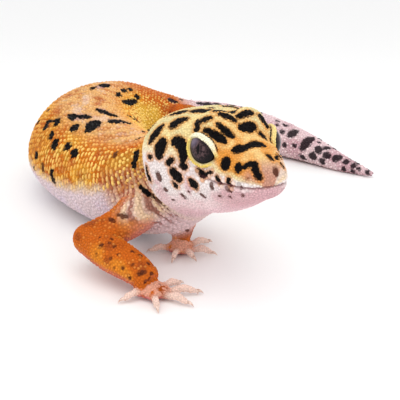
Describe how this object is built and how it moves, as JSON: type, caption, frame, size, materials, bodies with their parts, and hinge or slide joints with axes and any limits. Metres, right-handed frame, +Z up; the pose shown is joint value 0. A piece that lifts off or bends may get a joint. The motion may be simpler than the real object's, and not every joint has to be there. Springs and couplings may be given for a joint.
{
  "type": "leopard gecko",
  "caption": "Life-size still model of a leopard gecko resting curled to its left, head raised on spread forelegs, plump tail swept forward along the floor.",
  "frame": {"origin": "on the floor, under the middle of the animal's bounding box", "axes": "+Z up; the head end is towards -Y and faces about 24 degrees from -Y towards +X; the tail lies on the +X side"},
  "size_m": [0.089, 0.1402, 0.0327],
  "materials": {
    "skin": "matte, finely granular scales with raised tubercles",
    "pale_skin": "matte, fine smooth scales",
    "eye": "wet gloss",
    "claw": "satin horn"
  },
  "bodies": {
    "root": {"head": "skin", "lower_jaw": "pale_skin", "eye_left": "eye", "eye_right": "eye", "neck": "skin", "chest": "skin", "belly": "skin", "loin": "skin", "tail_root": "skin", "tail_middle": "skin", "tail_tip": "skin", "upper_arm_left": "skin", "upper_arm_right": "skin", "forearm_left": "skin", "forearm_right": "skin", "hand_left": "pale_skin", "hand_right": "pale_skin", "thigh_left": "skin", "thigh_right": "skin", "shin_left": "skin", "shin_right": "skin", "foot_left": "pale_skin", "foot_right": "pale_skin"}
  },
  "joints": []
}
